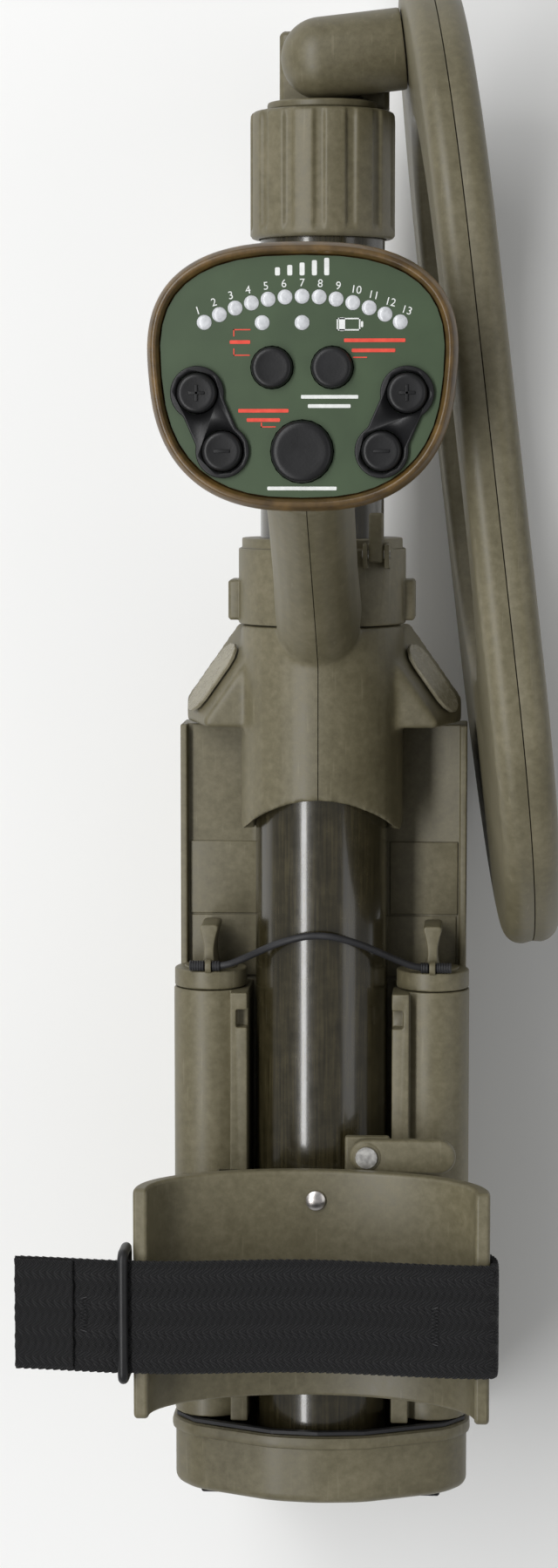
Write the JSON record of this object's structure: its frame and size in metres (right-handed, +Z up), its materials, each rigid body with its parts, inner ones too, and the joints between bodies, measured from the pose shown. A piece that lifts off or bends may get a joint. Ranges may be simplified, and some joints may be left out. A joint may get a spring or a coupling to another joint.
{
  "type": "folding metal detector",
  "caption": "Compact folding metal detector, stowed: telescoping stem, search head folded back beside the housing, handle with a control pod, arm cuff and strap.",
  "frame": {"origin": "on the housing's flat base, below the stem's axis, at the housing's mid-length", "axes": "+Y forward along the stem, +Z up through the control pod, +X to the operator's right, where the search head is stowed"},
  "size_m": [0.1541, 0.4497, 0.1919],
  "materials": {
    "olive_plastic": "moulded olive plastic, fine texture",
    "dark_olive_plastic": "moulded dark olive plastic",
    "composite_tube": "glossy fibre composite",
    "black_rubber": "matt moulded rubber",
    "black_webbing": "woven webbing",
    "green_face": "printed overlay",
    "bronze_bezel": "moulded, satin",
    "steel": "turned",
    "copper_winding": "taped winding",
    "circuit_board": "solder mask",
    "light_guide": "clear moulding",
    "battery_cell": "printed sleeve"
  },
  "bodies": {
    "housing": {"cap_tether": "black_rubber", "display_board": "circuit_board", "face_plate": "green_face", "handle_left": "olive_plastic", "handle_right": "olive_plastic", "housing_lower": "olive_plastic", "housing_upper": "olive_plastic", "latch_pin": "steel", "left_cell_front": "battery_cell", "left_cell_rear": "battery_cell", "left_contact_spring": "steel", "left_key_surround": "black_rubber", "left_shoulder_pad": "dark_olive_plastic", "light_guide": "light_guide", "main_board": "circuit_board", "nose_clamp": "olive_plastic", "pod_back": "olive_plastic", "pod_bezel": "bronze_bezel", "rear_bumper": "black_rubber", "rear_cover": "olive_plastic", "rear_gasket": "black_rubber", "right_cell_front": "battery_cell", "right_cell_rear": "battery_cell", "right_contact_spring": "steel", "right_key_surround": "black_rubber", "right_shoulder_pad": "dark_olive_plastic", "speaker": "black_rubber", "stem_outer_tube": "composite_tube"},
    "stage_1": {"stem_stage_1": "composite_tube", "lock_collet": "black_rubber"},
    "stage_2": {"stem_stage_2": "composite_tube"},
    "stage_3": {"stem_stage_3": "composite_tube", "stem_end_fitting": "olive_plastic", "elbow_pin": "steel"},
    "knob": {"lock_knob": "olive_plastic"},
    "elbow": {"elbow_arm": "olive_plastic"},
    "search_head": {"head_upper_shell": "olive_plastic", "head_lower_shell": "olive_plastic", "swivel_bolt": "steel", "transmit_winding": "copper_winding", "receive_winding": "copper_winding"},
    "latch": {"stem_latch": "olive_plastic"},
    "left_cap": {"left_battery_cap": "olive_plastic", "left_cap_o_ring": "black_rubber"},
    "right_cap": {"right_battery_cap": "olive_plastic", "right_cap_o_ring": "black_rubber"},
    "cuff": {"cuff_carriage": "olive_plastic", "arm_cuff": "olive_plastic", "cuff_rivet": "steel", "cuff_strap": "black_webbing", "strap_ring": "black_rubber", "lever_pin": "steel"},
    "lever": {"cuff_lever": "olive_plastic"},
    "main_button": {"main_button": "black_rubber"},
    "left_mode_button": {"left_mode_button": "black_rubber"},
    "left_plus_key": {"left_plus_key": "black_rubber"},
    "left_minus_key": {"left_minus_key": "black_rubber"},
    "right_mode_button": {"right_mode_button": "black_rubber"},
    "right_plus_key": {"right_plus_key": "black_rubber"},
    "right_minus_key": {"right_minus_key": "black_rubber"}
  },
  "joints": [
    {"name": "stage_1_slide", "type": "slide", "parent": "housing", "child": "stage_1", "axis": [0, 1, 0], "range_m": [0, 0.2]},
    {"name": "stage_2_slide", "type": "slide", "parent": "stage_1", "child": "stage_2", "axis": [0, 1, 0], "range_m": [0, 0.28]},
    {"name": "stage_3_slide", "type": "slide", "parent": "stage_2", "child": "stage_3", "axis": [0, 1, 0], "range_m": [0, 0.3]},
    {"name": "lock_knob_turn", "type": "hinge", "parent": "stage_1", "child": "knob", "pos_m": [0, 0.2755, 0.0785], "axis": [0, 1, 0], "range_deg": [0, 120]},
    {"name": "elbow_fold", "type": "hinge", "parent": "stage_3", "child": "elbow", "pos_m": [0, 0.3085, 0.0865], "axis": [0, 0, 1], "range_deg": [0, 105]},
    {"name": "head_swivel", "type": "hinge", "parent": "elbow", "child": "search_head", "pos_m": [0, 0.3085, 0.0865], "axis": [0.992, 0.1148, -0.0523], "range_deg": [0, 180]},
    {"name": "stem_latch_flip", "type": "hinge", "parent": "housing", "child": "latch", "pos_m": [0.0167, 0.166, 0.1021], "axis": [1, 0, 0], "range_deg": [0, 60]},
    {"name": "left_cap_turn", "type": "hinge", "parent": "housing", "child": "left_cap", "pos_m": [-0.0332, 0.039, 0.0785], "axis": [0, -1, 0], "range_deg": [0, 90], "deforming": ["cap_tether"]},
    {"name": "right_cap_turn", "type": "hinge", "parent": "housing", "child": "right_cap", "pos_m": [0.0332, 0.039, 0.0785], "axis": [0, 1, 0], "range_deg": [0, 90], "deforming": ["cap_tether"]},
    {"name": "cuff_slide", "type": "slide", "parent": "housing", "child": "cuff", "axis": [0, 1, 0], "range_m": [0, 0.045]},
    {"name": "cuff_lever_turn", "type": "hinge", "parent": "cuff", "child": "lever", "pos_m": [0.0145, -0.0095, 0.1045], "axis": [0, 0, 1], "range_deg": [0, 90]},
    {"name": "main_button_press", "type": "slide", "parent": "housing", "child": "main_button", "axis": [0, 0, -1], "range_m": [0, 0.0012], "stiffness_N_per_m": 400, "springref_m": -0.0005},
    {"name": "left_mode_button_press", "type": "slide", "parent": "housing", "child": "left_mode_button", "axis": [0, 0, -1], "range_m": [0, 0.0012], "stiffness_N_per_m": 400, "springref_m": -0.0005},
    {"name": "left_plus_key_press", "type": "slide", "parent": "housing", "child": "left_plus_key", "axis": [0, 0, -1], "range_m": [0, 0.0012], "stiffness_N_per_m": 400, "springref_m": -0.0005},
    {"name": "left_minus_key_press", "type": "slide", "parent": "housing", "child": "left_minus_key", "axis": [0, 0, -1], "range_m": [0, 0.0012], "stiffness_N_per_m": 400, "springref_m": -0.0005},
    {"name": "right_mode_button_press", "type": "slide", "parent": "housing", "child": "right_mode_button", "axis": [0, 0, -1], "range_m": [0, 0.0012], "stiffness_N_per_m": 400, "springref_m": -0.0005},
    {"name": "right_plus_key_press", "type": "slide", "parent": "housing", "child": "right_plus_key", "axis": [0, 0, -1], "range_m": [0, 0.0012], "stiffness_N_per_m": 400, "springref_m": -0.0005},
    {"name": "right_minus_key_press", "type": "slide", "parent": "housing", "child": "right_minus_key", "axis": [0, 0, -1], "range_m": [0, 0.0012], "stiffness_N_per_m": 400, "springref_m": -0.0005}
  ]
}
